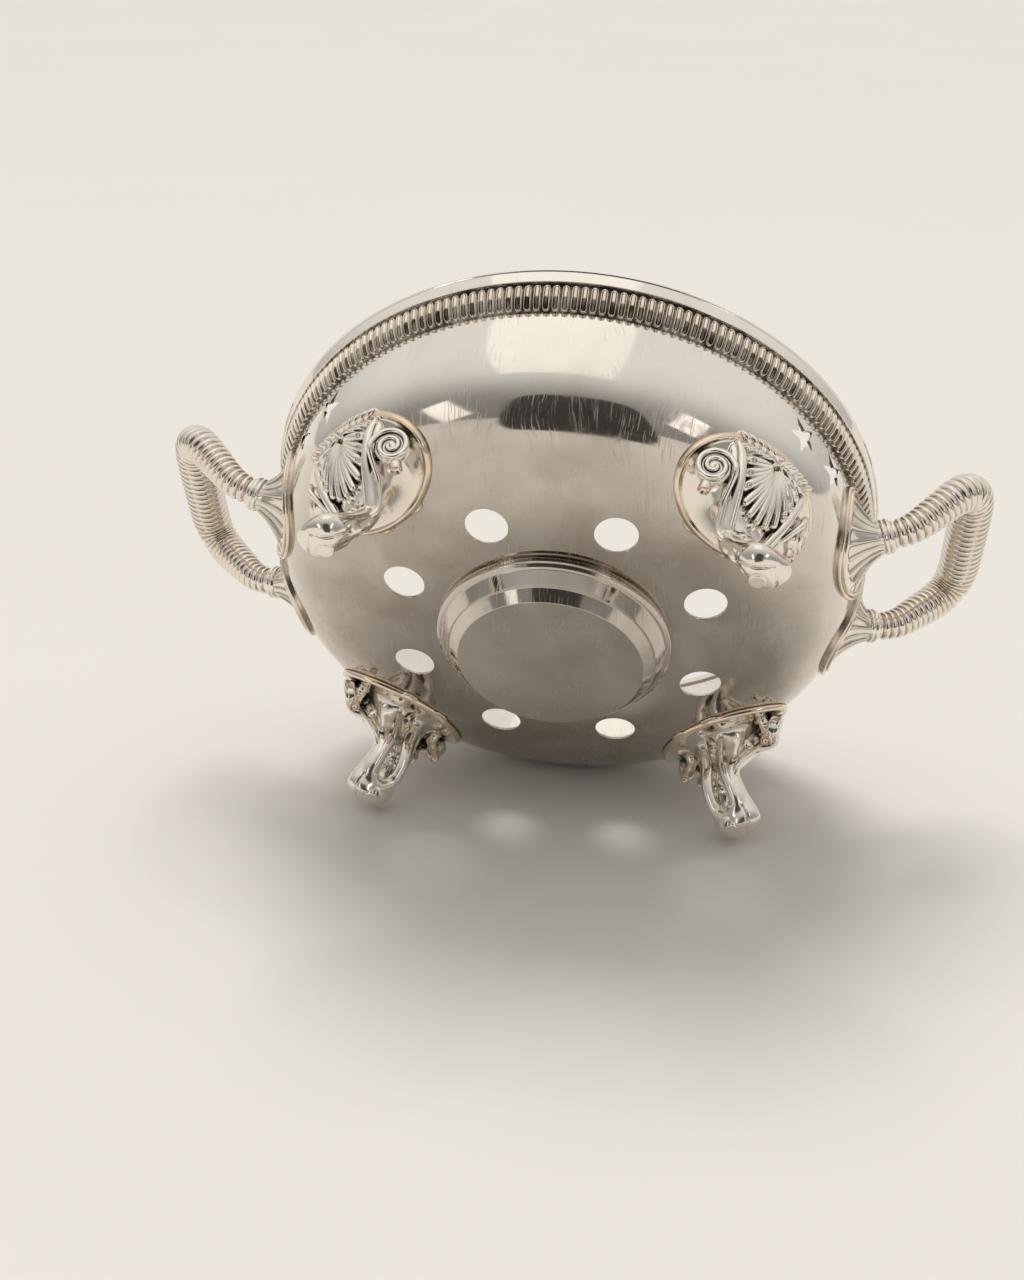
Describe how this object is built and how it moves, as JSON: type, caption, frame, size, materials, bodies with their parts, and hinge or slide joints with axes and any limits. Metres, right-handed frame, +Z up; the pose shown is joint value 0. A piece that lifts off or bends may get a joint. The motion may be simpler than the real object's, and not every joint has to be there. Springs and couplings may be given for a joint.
{
  "type": "dish warmer",
  "caption": "Silver-plated dish warmer: pierced round-bottomed bowl with gadroon border, two ringed handles, scrolled feet and a spirit burner in its well.",
  "frame": {"origin": "on the surface it stands on, under the middle of the bowl", "axes": "+Z up, X along the line through the two handles, -Y towards the front"},
  "size_m": [0.339, 0.25, 0.111],
  "materials": {
    "silver_plate": "polished silver plate with fine hair scratches",
    "silver_casting": "cast and plated, dark in the hollows, worn to warm metal on the edges",
    "burner_brass": "turned brass, lightly tarnished",
    "wick_cotton": "woven cotton, singed at the top"
  },
  "bodies": {
    "warmer": {"bowl": "silver_plate", "rim_band": "silver_plate", "gadroon_border": "silver_casting", "burner_well": "silver_plate", "handle_right": "silver_casting", "socket_right_front": "silver_casting", "collar_right_front": "silver_casting", "socket_right_back": "silver_casting", "collar_right_back": "silver_casting", "handle_left": "silver_casting", "socket_left_front": "silver_casting", "collar_left_front": "silver_casting", "socket_left_back": "silver_casting", "collar_left_back": "silver_casting", "foot_front_right": "silver_casting", "foot_front_left": "silver_casting", "foot_back_right": "silver_casting", "foot_back_left": "silver_casting"},
    "burner": {"burner_reservoir": "silver_plate", "wick_holder": "burner_brass", "wick": "wick_cotton", "hinge_bracket": "burner_brass", "hinge_pin": "burner_brass", "burner_bail": "burner_brass"},
    "snuffer": {"snuffer_cap": "burner_brass", "snuffer_knob": "burner_brass"}
  },
  "joints": [
    {"name": "burner_lift", "type": "slide", "parent": "warmer", "child": "burner", "axis": [0, 0, 1], "range_m": [0, 0.1]},
    {"name": "snuffer_hinge", "type": "hinge", "parent": "burner", "child": "snuffer", "pos_m": [-0.0112, 0, 0.0505], "axis": [0, -1, 0], "range_deg": [0, 105]}
  ]
}
